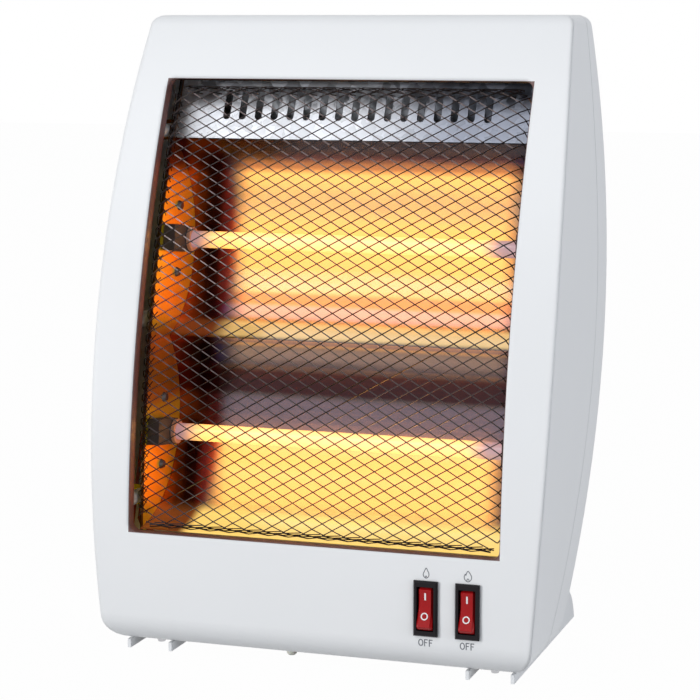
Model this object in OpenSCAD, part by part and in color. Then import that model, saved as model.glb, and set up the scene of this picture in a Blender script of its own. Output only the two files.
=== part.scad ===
// Portable halogen heater with two quartz tubes, in millimetres.
// X runs to the right, Y to the back and Z up. The origin is on the floor,
// under the middle of the heater. Side profiles are drawn with the upright
// stretch of the front face at y = 0, and place() moves them to the origin.

/* [Body] */
// Overall height above the floor
body_h = 368; // [350:1:400]
// Width at the widest level
body_w = 273; // [266:1:290]
// Height of the widest level
widest_z = 190; // [150:5:230]
// Radius of the bowed sides, seen from the front
side_r = 1900; // [1600:50:4000]
// Radius of the front face, seen from the side
front_r = 640; // [600:5:760]
// Height at which the front face stands upright
upright_z = 45; // [30:1:60]
// Depth from the upright front face to the furthest point of the back
body_d = 149.5; // [142:0.5:170]
// Radius of the back, seen from the side
back_r = 394; // [370:2:460]
// Height at which the back reaches furthest out
back_z = 245; // [225:1:260]
// Height of the underside above the floor
floor_gap = 5.5; // [4:0.5:9]
// Wall of the two moulded shells
wall = 2.5; // [2:0.1:3.2]
// Radius under the front edge
toe_r = 18; // [12:1:22]
// Radius under the back edge
heel_r = 20; // [12:1:26]
// Radius over the top of the front face
brow_r = 10; // [6:1:14]
// Radius over the top of the back
nape_r = 12; // [6:1:16]
// Radius of the lower corners, seen from the front
low_corner_r = 17; // [10:1:24]
// Radius of the upper corners, seen from the front
top_corner_r = 6.5; // [5:0.5:12]

/* [Seam] */
// Furthest depth of the seam between the shells
seam_d = 124.5; // [118:0.5:130]
// Radius of the seam below the deepest level
seam_low_r = 370; // [350:5:420]
// Radius of the seam above the deepest level
seam_top_r = 1150; // [900:50:1600]
// Width of the open groove at the seam
groove = 0.7; // [0.4:0.1:1.2]
// Thickness of the tongue inside the seam
tongue_t = 1.5; // [1.2:0.1:2]
// How far the tongue reaches into the front housing
tongue_reach = 4; // [3:0.5:6]

/* [Window] */
// Width of the frame beside the window
frame_w = 26; // [23.5:0.5:31]
// Height of the window's lower edge
window_z = 72.5; // [70:0.5:80]
// Height of the window
window_h = 258.5; // [250:0.5:262]
// Radius of the window's corners
window_r = 5; // [3:0.5:10]
// Depth of the lip that runs back from the window's edge
lip_d = 7; // [5:0.5:9]
// Thickness of that lip
lip_t = 1.8; // [1.5:0.1:2.5]

/* [Grille] */
// Width of one mesh, point to point
mesh_w = 12; // [10:0.5:16]
// Height of one mesh along the sheet
mesh_h = 7; // [6:0.5:10]
// Diameter of the wire
wire_d = 0.8; // [0.6:0.1:1]
// Depth of the grille behind the face
grille_d = 5; // [4:0.5:7]
// Gap between the window's edge and the bent grille
grille_gap = 2; // [1.5:0.5:5]
// Bend radius along the four edges
bend_r = 6; // [4:0.5:8]
// Length of the returns behind the bends
return_l = 11; // [6:0.5:12]

/* [Reflector box] */
// Radius of both troughs
trough_r = 66; // [64:0.5:68]
// Depth of the upper trough's centre line
upper_trough_y = 40.5; // [39:0.5:43]
// Height of the upper trough's centre line
upper_trough_z = 240; // [238:0.5:242]
// Depth of the lower trough's centre line
lower_trough_y = 13.5; // [12:0.5:16]
// Height of the lower trough's centre line
lower_trough_z = 137; // [136.5:0.5:139]
// Height at which the upper trough ends
trough_top_z = 295.5; // [290:0.5:298]
// Depth at which the lower trough ends in front
trough_front_y = 18; // [17:0.5:22]
// Thickness of the sheet metal
sheet_t = 0.8; // [0.6:0.1:1]
// Depth of the end plates' front edge behind the face
end_plate_d = 19; // [18:0.5:20]
// Gap between the back and the rear edge of the end plates
rear_space = 32; // [30:1:34]
// Height of the lower edge of the end plates
box_z = 68; // [66:0.5:70]
// Height of the upper edge of the end plates
box_top_z = 341; // [336:1:345]

/* [Vent plate] */
// Lean of the slotted plate
vent_lean = 25; // [20:1:26]
// Number of slots
slot_count = 17; // [9:2:19]
// Distance between slots
slot_pitch = 10; // [9:0.5:11]
// Width of a slot
slot_w = 4.5; // [3:0.5:5]
// Length of a slot
slot_l = 19; // [12:1:22]
// Distance from the plate's lower edge to the slots
slot_rise = 12; // [8:0.5:14]

/* [Heating tubes] */
// Diameter of the quartz tubes
tube_d = 10; // [9:0.5:11]
// Wall of the quartz tubes
tube_wall = 1; // [0.8:0.1:1.4]
// Depth of each tube behind its trough's centre line
tube_forward = 40; // [36:0.5:43]
// Height of the upper tube
upper_tube_z = 235.1; // [233:0.1:239]
// Height of the lower tube
lower_tube_z = 122.7; // [120:0.1:127]
// Length of the end caps inside the box
cap_l = 7.3; // [6.5:0.1:9]
// Height of the end caps
cap_h = 15.5; // [14:0.5:17]
// Reach of the end caps in front of the tube's middle
cap_front = 23.5; // [14:0.5:25]
// Reach of the end caps behind the tube's middle
cap_rear = 7.5; // [7:0.5:9]
// Length of the round collar on each cap
collar_l = 2.5; // [1.5:0.1:3]
// Diameter of that collar
collar_d = 14.6; // [13.5:0.1:15]
// How far the tube sits in its cap
tube_seat = 5; // [3:0.5:7]
// Diameter of the heating coil
coil_d = 6; // [5:0.2:6.6]
// Diameter of the heating wire
coil_wire_d = 0.9; // [0.7:0.1:1.2]
// Number of turns of the coil
coil_turns = 24; // [18:1:30]

/* [Rocker switches] */
// Distance from the middle to the left switch
switch_x = 69; // [60:1:72]
// Distance between the switches
switch_pitch = 24; // [20:1:26]
// Height of the switches
switch_z = 42.2; // [40:0.1:46]
// Width of the bezel
bezel_w = 13.8; // [13:0.1:15]
// Height of the bezel
bezel_h = 31.6; // [30:0.1:33]
// Thickness of the bezel in front of the face
bezel_t = 2.2; // [1.8:0.1:3]
// Width of the switch body behind the face
switch_w = 12; // [11.8:0.1:12.4]
// Height of the switch body behind the face
switch_h = 28; // [27.6:0.1:28.6]
// Depth of the switch body behind the face
switch_d = 22; // [18:0.5:26]
// Width of the rocker
rocker_w = 9.2; // [8.6:0.1:9.4]
// Half height of the rocker
rocker_half = 11.8; // [11:0.1:12]
// Travel of the rocker to each side of its middle, in degrees
rocker_tilt = 10; // [8:0.5:12]

/* [Tip-over switch] */
// Distance of the tip-over switch from the middle, to the left
tip_x = 20; // [0:1:30]
// Distance of its plunger in front of the seam
tip_ahead = 11.6; // [10.6:0.1:12.6]
// Diameter of the plunger
plunger_d = 6; // [5:0.2:7]
// Travel of the plunger
plunger_travel = 5; // [3:0.5:6]

/* [Feet] */
// Distance of the feet in from the widest level
foot_inset = 19.5; // [18.5:0.5:26.5]
// Width of a foot
foot_w = 30; // [26:1:34]
// Thickness of the foot's walls
foot_t = 2.2; // [1.8:0.1:3]
// Depth at which a foot starts
foot_front_y = 11; // [8:0.5:14]
// Height of the tail behind the housing
tail_h = 24.7; // [20:0.1:30]
// Radius of the tail's end
tail_r = 32.3; // [28:0.1:38]
// Depth at which the tail ends
tail_y = 162; // [156:0.5:175]

/* [Rear cover] */
// Number of louvre rows
louvre_rows = 14; // [6:1:15]
// Distance between the rows
louvre_pitch = 13; // [11:0.5:15]
// Height of the first row
louvre_z = 104; // [96:1:110]
// Width of one louvre slot
louvre_w = 54; // [40:1:56]
// Height of one louvre slot
louvre_h = 4; // [3:0.5:5]
// Width of the handle recess
grip_w = 92; // [80:1:110]
// Height of the handle recess
grip_h = 24; // [20:1:26]
// Depth of the handle recess
grip_d = 22; // [16:1:23]
// Height of the handle recess on the back
grip_z = 318; // [314:1:320]
// Height of the cord inlet on the back
inlet_z = 38; // [34:1:44]
// Distance of the cord inlet from the middle, to the left
inlet_x = 66; // [50:1:70]
// Bore of the cord inlet
inlet_d = 7; // [6:0.2:8]

/* [Fasteners] */
// Diameter of the posts that hold the rear cover
post_d = 9; // [8:0.5:9.5]
// Distance of the posts in from the widest level
post_inset = 16; // [15.5:0.5:17]
// Diameter of the cover screws
screw_d = 3; // [2.5:0.1:3.5]
// Diameter of the bosses that hold the reflector box
boss_d = 8; // [7:0.5:8.5]
// Distance of those bosses in from the widest level
boss_inset = 18.5; // [17.5:0.5:19.5]
// Height of the lower bosses
low_boss_z = 87; // [84:1:90]
// Height of the upper bosses
top_boss_z = 300; // [296:1:304]

/* [Clearances] */
// Gap between pieces that seat on each other
seat = 0.2; // [0.1:0.05:0.3]
// Gap round pins, tubes and plungers
fit = 0.3; // [0.2:0.05:0.4]

/* [Hidden] */

$fn = 96;
eps = 0.01;
hair = 0.02;
far = 900;                          // longer than anything that is cut

// Rockers, measured from their pin. The outer tip is what reaches furthest
// forward on the heater.
pin_y = 0.5;
pin_d = 3;
rocker_face = -2.1;                 // middle of the rocker's face
rocker_back = 6;
rocker_tip = [rocker_face - rocker_half * tan(rocker_tilt), rocker_half];
rocker_end_r = norm(rocker_tip);
front_reach = -pin_y - rocker_tip.x * cos(rocker_tilt) + rocker_tip.y * sin(rocker_tilt);
place_y = -(tail_y - front_reach) / 2;

front_c = [front_r, upright_z];
window_w = body_w - 2 * frame_w;
post_x = body_w / 2 - post_inset;
boss_x = body_w / 2 - boss_inset;
foot_x = body_w / 2 - foot_inset;
back_c = [body_d - back_r, back_z];
seam_low_c = [seam_d - seam_low_r, back_z];
seam_top_c = [seam_d - seam_top_r, back_z];
upper_trough = [upper_trough_y, upper_trough_z];
lower_trough = [lower_trough_y, lower_trough_z];
upper_tube = [upper_trough_y + tube_forward, upper_tube_z];
lower_tube = [lower_trough_y + tube_forward, lower_tube_z];

box_half = window_w / 2 + 0.5;      // inner faces of the end plates
plate_half = box_half - seat;       // half length of what fits between them
cap_face = box_half - seat - cap_l; // inner faces of the caps' blocks
tube_half = cap_face - collar_l + tube_seat;
window_top_z = window_z + window_h;

// Depth of the front face and of the back at height z, inset by i
function front_y(z, i = 0) = front_r - sqrt(pow(front_r - i, 2) - pow(z - upright_z, 2));
function back_y(z, i = 0) = back_c.x + sqrt(pow(back_r - i, 2) - pow(z - back_z, 2));
function side_x(z, i = 0) = body_w / 2 - side_r + sqrt(pow(side_r - i, 2) - pow(z - widest_z, 2));
function seam_y(z) = z < back_z
    ? seam_low_c.x + sqrt(pow(seam_low_r, 2) - pow(z - back_z, 2))
    : seam_top_c.x + sqrt(pow(seam_top_r, 2) - pow(z - back_z, 2));

module place() { translate([0, place_y, 0]) children(); }

// A drawing in (y, z) carried along X between two places
module along_x(x0, x1) {
  translate([x0, 0, 0]) rotate([90, 0, 90]) linear_extrude(height = x1 - x0) children();
}

// A drawing in (x, z) carried along Y between two depths
module along_y(y0, y1) {
  translate([0, y1, 0]) rotate([90, 0, 0]) linear_extrude(height = y1 - y0) children();
}

// A round bar along X, at (y, z)
module bar_x(at, d, x0, x1) {
  translate([x0, at.x, at.y]) rotate([0, 90, 0]) cylinder(h = x1 - x0, d = d);
}

// A round bar along Y, at (x, z)
module bar_y(at, d, y0, y1) {
  translate([at.x, y0, at.y]) rotate([-90, 0, 0]) cylinder(h = y1 - y0, d = d);
}

// A rectangle with round corners, centred
module soft_rect(w, h, r) {
  square([w - 2 * r, h], center = true);
  square([w, h - 2 * r], center = true);
  for (x = [-1, 1], z = [-1, 1]) translate([x * (w / 2 - r), z * (h / 2 - r)]) circle(r);
}

// What a fillet of radius r takes off where an arc (centre c, radius big)
// meets the level z. side is 1 where the arc lies right of its centre, and
// up is 1 at an upper edge. The circle is a hair larger than the fillet, so
// that the arcs cross where they would only touch.
module corner_waste(c, big, z, r, side, up) {
  fz = z - up * r;
  f = [c.x + side * sqrt(pow(big - r, 2) - pow(fz - c.y, 2)), fz];
  out = 3 * (f - c) / (big - r) * r;
  lift = [0, 3 * up * r];
  difference() {
    polygon([f, f + out, f + out + lift, f + lift]);
    translate(f) circle(r + hair);
  }
}

// The body's leaf-shaped side profile and barrel-shaped front outline
module side_profile(i) {
  top = body_h - i;
  low = floor_gap + i;
  difference() {
    intersection() {
      translate(front_c) circle(front_r - i, $fn = 360);
      translate(back_c) circle(back_r - i, $fn = 360);
      translate([-far, low]) square([2 * far, top - low]);
    }
    corner_waste(front_c, front_r - i, top, brow_r - i, -1, 1);
    corner_waste(front_c, front_r - i, low, toe_r - i, -1, -1);
    corner_waste(back_c, back_r - i, top, nape_r - i, 1, 1);
    corner_waste(back_c, back_r - i, low, heel_r - i, 1, -1);
  }
}

module front_outline(i) {
  right_c = [body_w / 2 - side_r, widest_z];
  left_c = [-right_c.x, widest_z];
  top = body_h - i;
  low = floor_gap + i;
  difference() {
    intersection() {
      translate(right_c) circle(side_r - i, $fn = 720);
      translate(left_c) circle(side_r - i, $fn = 720);
      translate([-far, low]) square([2 * far, top - low]);
    }
    corner_waste(right_c, side_r - i, top, top_corner_r - i, 1, 1);
    corner_waste(right_c, side_r - i, low, low_corner_r - i, 1, -1);
    corner_waste(left_c, side_r - i, top, top_corner_r - i, -1, 1);
    corner_waste(left_c, side_r - i, low, low_corner_r - i, -1, -1);
  }
}

// The whole body as a solid, with every surface moved in by i
module body(i) {
  intersection() {
    along_x(-body_w, body_w) side_profile(i);
    along_y(-body_d, 2 * body_d) front_outline(i);
  }
}

// Everything in front of the seam, with the seam moved back by d
module before_seam(d) {
  along_x(-body_w, body_w) {
    intersection() {
      translate(seam_low_c) circle(seam_low_r + d, $fn = 360);
      translate([-far, back_z - far]) square([2 * far, far]);
    }
    intersection() {
      translate(seam_top_c) circle(seam_top_r + d, $fn = 720);
      translate([-far, back_z]) square([2 * far, far]);
    }
  }
}

// Places of the posts that hold the rear cover, as heights
post_zs = [30, widest_z, body_h - 28];
post_gap = 6;                       // from the seam forward to the posts' ends

module window_outline(grow) {
  translate([0, window_z + window_h / 2])
    soft_rect(window_w + 2 * grow, window_h + 2 * grow, window_r + grow);
}

module front_housing() {
  color("white") place() difference() {
    union() {
      difference() {
        intersection() { body(0); before_seam(0); }
        body(wall);
      }
      // Lip round the window
      intersection() {
        along_y(-body_d, body_d) window_outline(lip_t);
        along_x(-body_w, body_w) difference() {
          translate(front_c) circle(front_r - wall / 2, $fn = 360);
          translate(front_c) circle(front_r - lip_d, $fn = 360);
        }
      }
      // Posts for the rear cover
      intersection() {
        body(wall / 2);
        for (x = [-1, 1], z = post_zs)
          bar_y([x * post_x, z], post_d, -body_d, seam_y(z) - post_gap);
      }
      // Bosses for the reflector box
      intersection() {
        body(wall / 2);
        for (x = [-1, 1], z = [low_boss_z, top_boss_z])
          bar_y([x * boss_x, z], boss_d, -body_d, lug_y(z) - seat);
      }
      // Bosses for the feet
      for (x = [-1, 1])
        translate([x * foot_mid, foot_screw_ys[0], floor_gap + wall / 2])
          cylinder(h = foot_boss_h, d = boss_d);
    }
    along_y(-body_d, body_d / 2) window_outline(0);
    for (i = [0, 1])
      translate([switch_x + i * switch_pitch, 0, switch_z])
        cube([switch_w + 2 * seat, 4 * wall, switch_h + 2 * seat], center = true);
    for (x = [-1, 1], z = post_zs)
      bar_y([x * post_x, z], screw_d * 0.85, seam_y(z) - post_gap - 14, far);
    for (x = [-1, 1], z = [low_boss_z, top_boss_z])
      bar_y([x * boss_x, z], screw_d * 0.85, lug_y(z) - 10, far);
    for (x = [-1, 1])
      translate([x * foot_mid, foot_screw_ys[0], -1])
        cylinder(h = foot_boss_h + 3, d = screw_d * 0.85);
    translate([-tip_x, tip_y, -1]) cylinder(h = 3 * floor_gap, d = plunger_d + 2 * fit);
  }
}

// On the back at height z: the children's +Y points straight out of it
module on_back(x, z) {
  a = asin((z - back_z) / back_r);
  translate([x, back_c.x + back_r * cos(a), z]) rotate([a, 0, 0]) children();
}

module rear_cover() {
  grip_wall = 2;
  column = louvre_w + 8;
  color("white") place() difference() {
    union() {
      difference() {
        body(0);
        before_seam(groove);
        body(wall);
      }
      // Tongue behind the seam, and its root
      intersection() {
        difference() { body(wall + fit); body(wall + fit + tongue_t); }
        before_seam(groove + eps);
        difference() {
          translate([-far, -far, 0]) cube([2 * far, 2 * far, body_h]);
          before_seam(-tongue_reach);
        }
      }
      intersection() {
        difference() { body(wall / 2); body(wall + fit + tongue_t); }
        before_seam(groove + 3);
        difference() {
          translate([-far, -far, 0]) cube([2 * far, 2 * far, body_h]);
          before_seam(groove);
        }
      }
      // Posts that meet those of the front housing
      intersection() {
        body(wall / 2);
        for (x = [-1, 1], z = post_zs)
          bar_y([x * post_x, z], post_d, seam_y(z) - post_gap + seat, far / 2);
      }
      // Walls of the handle recess
      on_back(0, grip_z) translate([0, -grip_d - grip_wall, 0]) rotate([-90, 0, 0])
        linear_extrude(height = grip_d + grip_wall - 0.5)
          soft_rect(grip_w + 2 * grip_wall, grip_h + 2 * grip_wall, 6 + grip_wall);
      // Bosses for the feet
      for (x = [-1, 1])
        translate([x * foot_mid, foot_screw_ys[1], floor_gap + wall / 2])
          cylinder(h = foot_boss_h, d = boss_d);
    }
    on_back(0, grip_z) translate([0, -grip_d, 0]) rotate([-90, 0, 0])
      linear_extrude(height = 3 * grip_d) soft_rect(grip_w, grip_h, 6);
    // Louvres
    along_y(seam_low_c.x + seam_low_r - 90, 2 * body_d)
      for (i = [0 : louvre_rows - 1], c = [-1 : 1])
        translate([c * column, louvre_z + i * louvre_pitch])
          soft_rect(louvre_w, louvre_h, louvre_h / 2 - eps);
    for (x = [-1, 1], z = post_zs) {
      bar_y([x * post_x, z], screw_d + fit, 0, far);
      bar_y([x * post_x, z], screw_head_d + 2 * fit, head_seat_y(z), far);
    }
    for (x = [-1, 1])
      translate([x * foot_mid, foot_screw_ys[1], -1])
        cylinder(h = foot_boss_h + 3, d = screw_d * 0.85);
    on_back(-inlet_x, inlet_z) rotate([90, 0, 0])
      cylinder(h = 4 * inlet_d, d = inlet_d + 2 * inlet_wall + 2 * fit, center = true);
  }
}

// Pan head screws
screw_head_d = 2 * screw_d;
screw_head_h = 0.7 * screw_d;
cover_screw_l = 16;
function head_seat_y(z) = seam_y(z) - post_gap + 4;

// A screw whose head sits on the plane z = 0 and whose shank runs down
module screw(shank) {
  cylinder(h = screw_head_h, d1 = screw_head_d, d2 = screw_head_d * 0.7);
  translate([0, 0, -shank]) cylinder(h = shank + eps, d = screw_d * 0.8);
}

module rear_cover_screws() {
  color("dimgray") place()
    for (x = [-1, 1], z = post_zs)
      translate([x * post_x, head_seat_y(z) + eps, z]) rotate([-90, 0, 0]) screw(cover_screw_l);
}

// Feet
foot_mid = foot_x - foot_w / 2;
foot_screw_ys = [seam_y(floor_gap) - 9.5, seam_y(floor_gap) + 11.5];
foot_boss_h = 12;

module foot_profile(i) {
  end_c = [tail_y - tail_r, tail_h - tail_r];
  difference() {
    translate([foot_front_y + i, -eps]) square([tail_y - foot_front_y - 2 * i, tail_h - i + eps]);
    difference() {
      translate([end_c.x, 0]) square([far, far]);
      translate(end_c) circle(tail_r - i + hair, $fn = 180);
    }
  }
}

module foot(side) {
  x0 = side > 0 ? foot_x - foot_w : -foot_x;
  inner = foot_w - 2 * foot_t;
  color("whitesmoke") place() difference() {
    intersection() {
      along_x(x0, x0 + foot_w) foot_profile(0);
      translate([-far / 2, 0, 0]) cube([far, far, far]);
    }
    body(-seat);
    difference() {
      translate([0, 0, -eps]) along_x(x0 + foot_t, x0 + foot_t + inner) foot_profile(foot_t);
      body(-seat - foot_t);
    }
    for (y = foot_screw_ys)
      translate([side * foot_mid, y, -1]) cylinder(h = 2 * floor_gap, d = screw_d + fit);
  }
}

module foot_left() { foot(-1); }
module foot_right() { foot(1); }

module foot_screws() {
  head_z = floor_gap - seat - foot_t;
  color("dimgray") place()
    for (x = [-1, 1], y = foot_screw_ys)
      translate([x * foot_mid, y, head_z - eps]) rotate([180, 0, 0]) screw(9);
}

// Grille: one sheet of crossing wires, unrolled to (u, v). u runs across the
// sheet and v up it, both measured along the surface. Past the bends the
// sheet turns back by a right angle.
sheet_r = front_r - grille_d;
bend_l = bend_r * PI / 2;
flat_u = window_w / 2 - grille_gap - bend_r;
low_a = asin((window_z + grille_gap + bend_r - upright_z) / sheet_r);
top_a = asin((window_top_z - grille_gap - bend_r - upright_z) / sheet_r);
flat_v = sheet_r * (top_a - low_a) * PI / 180;
end_u = flat_u + bend_l + return_l;
wire_r = wire_d / 2;
layer = 0.75 * wire_r;              // each family of wires, off the sheet

// Distance along the sheet and depth behind it, s past the start of a bend
function bent(s) = s <= 0 ? [s, 0]
    : s < bend_l ? [bend_r * sin(s / bend_l * 90), bend_r * (1 - cos(s / bend_l * 90))]
    : [bend_r, bend_r + s - bend_l];

// A point of the sheet, h in front of it
function sheet_point(u, v, h) =
    let (across = bent(abs(u) - flat_u),
         up = v < flat_v / 2 ? bent(-v) : bent(v - flat_v),
         a = v < flat_v / 2 ? low_a : top_a,
         run = v < flat_v / 2 ? max(-up.x, 0) : flat_v + min(up.x, 0),
         over = v < flat_v / 2 ? -max(up.x, 0) : max(up.x, 0),
         t = low_a + run / sheet_r * 180 / PI,
         deep = across.y + up.y,
         lift_u = bent_lift(abs(u) - flat_u, h),
         lift_v = bent_lift(v < flat_v / 2 ? -v : v - flat_v, h),
         ru = sheet_r - deep + (lift_u.y + lift_v.y - h),
         x = sign(u) * (flat_u + across.x + lift_u.x))
    [x, front_r - ru * cos(t) + (over + sign(over) * lift_v.x) * sin(t),
     upright_z + ru * sin(t) + (over + sign(over) * lift_v.x) * cos(t)];

// How a point that lies h in front of the sheet moves as the sheet bends:
// outwards, and to the front
function bent_lift(s, h) = s <= 0 ? [0, h] : s < bend_l
    ? [h * sin(s / bend_l * 90), h * cos(s / bend_l * 90)] : [h, 0];

u_stops = [end_u, flat_u + bend_l, flat_u + bend_l / 2, flat_u];
v_low = -bend_l - return_l;
v_top = flat_v + bend_l + return_l;
v_parts = 6;
v_stops = concat([v_low, -bend_l, -bend_l / 2], [for (i = [0 : v_parts]) flat_v * i / v_parts],
                 [flat_v + bend_l / 2, flat_v + bend_l, v_top]);

function sorted(a) = len(a) < 2 ? a
    : let (p = a[0])
      concat(sorted([for (x = a) if (x < p - eps) x]), [p],
             sorted([for (x = a) if (x > p + eps) x]));

// The stops of the wire v = c + slope * u inside the sheet
function wire_stops(c, slope) = sorted(
    [for (u = concat(u_stops, -u_stops, [for (v = v_stops) (v - c) / slope]))
     if (abs(u) <= end_u + eps && c + slope * u >= v_low - eps && c + slope * u <= v_top + eps) u]);

// The sheet's four corners are notched out
function on_sheet(u, v) = abs(u) < flat_u || (v > 0 && v < flat_v);

// Runs of stops that stay on the sheet, as lists of (u, v)
function wire_runs(c, slope) =
    let (s = wire_stops(c, slope), n = len(s))
    n < 2 ? [] :
    let (ok = [for (i = [0 : n - 2])
               let (m = (s[i] + s[i + 1]) / 2) on_sheet(m, c + slope * m)],
         starts = [for (i = [0 : n - 2]) if (ok[i] && (i == 0 || !ok[i - 1])) i])
    [for (i = starts)
     [for (j = i, go = true; go; go = j < n - 1 && ok[j], j = j + 1)
      [s[j], c + slope * s[j]]]];

// Rings of s points round each point of a path. The first ring starts on the
// side named by out, and each later ring carries that side on.
function unit(a) = a / norm(a);
function across(a, t) = unit(a - (a * t) * t);
function heading(p, i) = unit(p[min(i + 1, len(p) - 1)] - p[max(i - 1, 0)]);
function path_rings(p, r, s, out, i = 0) = i >= len(p) ? [] :
    let (t = heading(p, i), o = across(out, t), side = cross(t, o))
    concat([for (k = [0 : s - 1]) p[i] + r * (cos(360 * k / s) * o + sin(360 * k / s) * side)],
           path_rings(p, r, s, o, i + 1));

// Faces of one tube of n rings, the first point being number o
function tube_faces(n, o, s) = concat(
    [[for (k = [0 : s - 1]) o + k]],
    [[for (k = [s - 1 : -1 : 0]) o + (n - 1) * s + k]],
    [for (i = [0 : n - 2], k = [0 : s - 1])
     let (a = o + i * s + k, b = o + i * s + (k + 1) % s) each [[a, a + s, b], [b, a + s, b + s]]]);

function offsets(lens, i = 0, at = 0) = i >= len(lens) ? []
    : concat([at], offsets(lens, i + 1, at + lens[i]));

// Several tubes of s sides as one polyhedron, from their lists of rings
module tubes(rings, s) {
  at = offsets([for (r = rings) len(r)]);
  polyhedron([for (r = rings) each r],
             [for (i = [0 : len(rings) - 1]) each tube_faces(len(rings[i]) / s, at[i], s)]);
}

module grille() {
  slope = mesh_h / mesh_w;
  sides = 3;
  count = ceil((v_top + slope * end_u) / mesh_h);
  wires = [for (m = [-1, 1], k = [-count : count], run = wire_runs(k * mesh_h + flat_v / 2, m * slope))
           if (norm(run[0] - run[len(run) - 1]) > mesh_h / 2) [m * (layer + wire_r / 2), run]];
  color("lightslategray") place()
    tubes([for (w = wires)
           path_rings([for (q = w[1]) sheet_point(q.x, q.y, w[0])], wire_r, sides, [0, 0, 1])], sides);
}

// Reflector: one sheet in two troughs that meet in a ridge
module trough_discs(grow) {
  for (c = [upper_trough, lower_trough]) translate(c) circle(trough_r + grow, $fn = 180);
}

module reflector() {
  color("gold") place() along_x(-plate_half, plate_half) intersection() {
    difference() { trough_discs(sheet_t); trough_discs(0); }
    translate([trough_front_y, 0]) square([far, trough_top_z]);
  }
}

trough_top_y = upper_trough_y + sqrt(pow(trough_r, 2) - pow(trough_top_z - upper_trough_z, 2));
vent_plate_l = (box_top_z - trough_top_z - 2) / cos(vent_lean);

module top_vent_plate() {
  flange = 6;
  color("silver") place()
    translate([0, trough_top_y + sheet_t, trough_top_z + seat]) rotate([-vent_lean, 0, 0])
      difference() {
        along_x(-plate_half, plate_half) union() {
          translate([-sheet_t, 0]) square([sheet_t, vent_plate_l]);
          translate([-sheet_t, vent_plate_l - sheet_t]) square([flange, sheet_t]);
        }
        along_y(-5, 5) for (i = [0 : slot_count - 1])
          translate([(i - (slot_count - 1) / 2) * slot_pitch, slot_rise + slot_l / 2])
            soft_rect(slot_w, slot_l, slot_w / 2 - eps);
      }
}

// Side view of the box between the grille and the heat shield
module box_profile(front, rear) {
  intersection() {
    translate(front_c) circle(front_r - front, $fn = 360);
    translate(back_c) circle(back_r - rear, $fn = 360);
    translate([-far, box_z]) square([2 * far, box_top_z - box_z]);
  }
}

// Lugs of the end plates, where they are screwed to the front housing
lug_w = 12;
function lug_y(z) = front_y(z, end_plate_d) + 14;
tube_ats = [upper_tube, lower_tube];
neck_d = 8;

// The caps and their brackets lean a little. The screws lie above and below
// the tube.
bracket_lean = 8;
bracket_reach = 20;
bracket_back = -1;

module at_bracket(at) {
  translate([0, at.x, at.y]) rotate([-bracket_lean, 0, 0]) children();
}

module end_plate(side) {
  flange_in = box_half - (flat_u + bend_r + wire_d + layer) - fit;
  x0 = side > 0 ? box_half : -box_half - sheet_t;
  color("orange") place() difference() {
    union() {
      along_x(x0, x0 + sheet_t) box_profile(end_plate_d, rear_space);
      // Front edge, folded in
      along_x(side > 0 ? box_half - flange_in : -box_half - eps,
              side > 0 ? box_half + eps : -box_half + flange_in)
        intersection() {
          difference() {
            box_profile(end_plate_d, rear_space);
            translate(front_c) circle(front_r - end_plate_d - sheet_t, $fn = 360);
          }
          translate([-far, box_z + 12]) square([2 * far, trough_top_z - box_z - 28]);
        }
      // Lugs
      for (z = [low_boss_z, top_boss_z])
        translate([side > 0 ? box_half : -boss_x - lug_w / 2, lug_y(z), z - lug_w / 2])
          cube([boss_x + lug_w / 2 - box_half, sheet_t, lug_w]);
    }
    for (t = tube_ats) {
      bar_x(t, neck_d + 2 * fit, -far, far);
      at_bracket(t) for (z = [-1, 1])
        bar_x([bracket_back, z * bracket_reach], screw_d + fit, -far, far);
    }
    for (z = [low_boss_z, top_boss_z])
      bar_y([side * boss_x, z], screw_d + fit, 0, far);
  }
}

module end_plate_left() { end_plate(-1); }
module end_plate_right() { end_plate(1); }

module chassis_screws() {
  color("dimgray") place()
    for (x = [-1, 1], z = [low_boss_z, top_boss_z])
      translate([x * boss_x, lug_y(z) + sheet_t + eps, z]) rotate([-90, 0, 0]) screw(8);
}

module heat_shield() {
  gap = rear_space + 1;
  color("lightgray") place() along_x(-plate_half, plate_half) intersection() {
    difference() {
      translate(back_c) circle(back_r - gap, $fn = 360);
      translate(back_c) circle(back_r - gap - sheet_t, $fn = 360);
    }
    translate([0, box_z + 10]) square([far, box_top_z - box_z - 16]);
  }
}

// Heating tubes
module quartz_tube(at) {
  color("bisque") place() difference() {
    bar_x(at, tube_d, -tube_half, tube_half);
    bar_x(at, tube_d - 2 * tube_wall, -far, far);
  }
}

module quartz_tube_upper() { quartz_tube(upper_tube); }
module quartz_tube_lower() { quartz_tube(lower_tube); }

// A coil along X with straight leads at both ends, as one tube
coil_steps = 8;

function coil_path(half) =
    let (n = coil_turns * coil_steps)
    concat([[-lead_end, 0, 0], [-half - 3, 0, 0]],
           [for (i = [0 : n])
            let (a = 360 * i / coil_steps,
                 r = (coil_d - coil_wire_d) / 2 * min(1, i / coil_steps, (n - i) / coil_steps))
            [-half + 2 * half * i / n, r * cos(a), r * sin(a)]],
           [[half + 3, 0, 0], [lead_end, 0, 0]]);

module heating_coil(at) {
  p = coil_path(tube_half - 15);
  color("orangered") place() translate([0, at.x, at.y])
    tubes([path_rings(p, coil_wire_d / 2, 6, [0, 0, 1])], 6);
  turn = min([for (i = [2 : len(p) - coil_steps - 3]) norm(p[i + coil_steps] - p[i])]);
  echo(least_gap_of_the_coil_to_itself = turn - coil_wire_d);
}

module heating_coil_upper() { heating_coil(upper_tube); }
module heating_coil_lower() { heating_coil(lower_tube); }

// Ceramic cap: a block inside the box, a collar round the tube and a neck
// through the end plate. Drawn for the right-hand end.
neck_end = box_half + sheet_t + 3;

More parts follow.
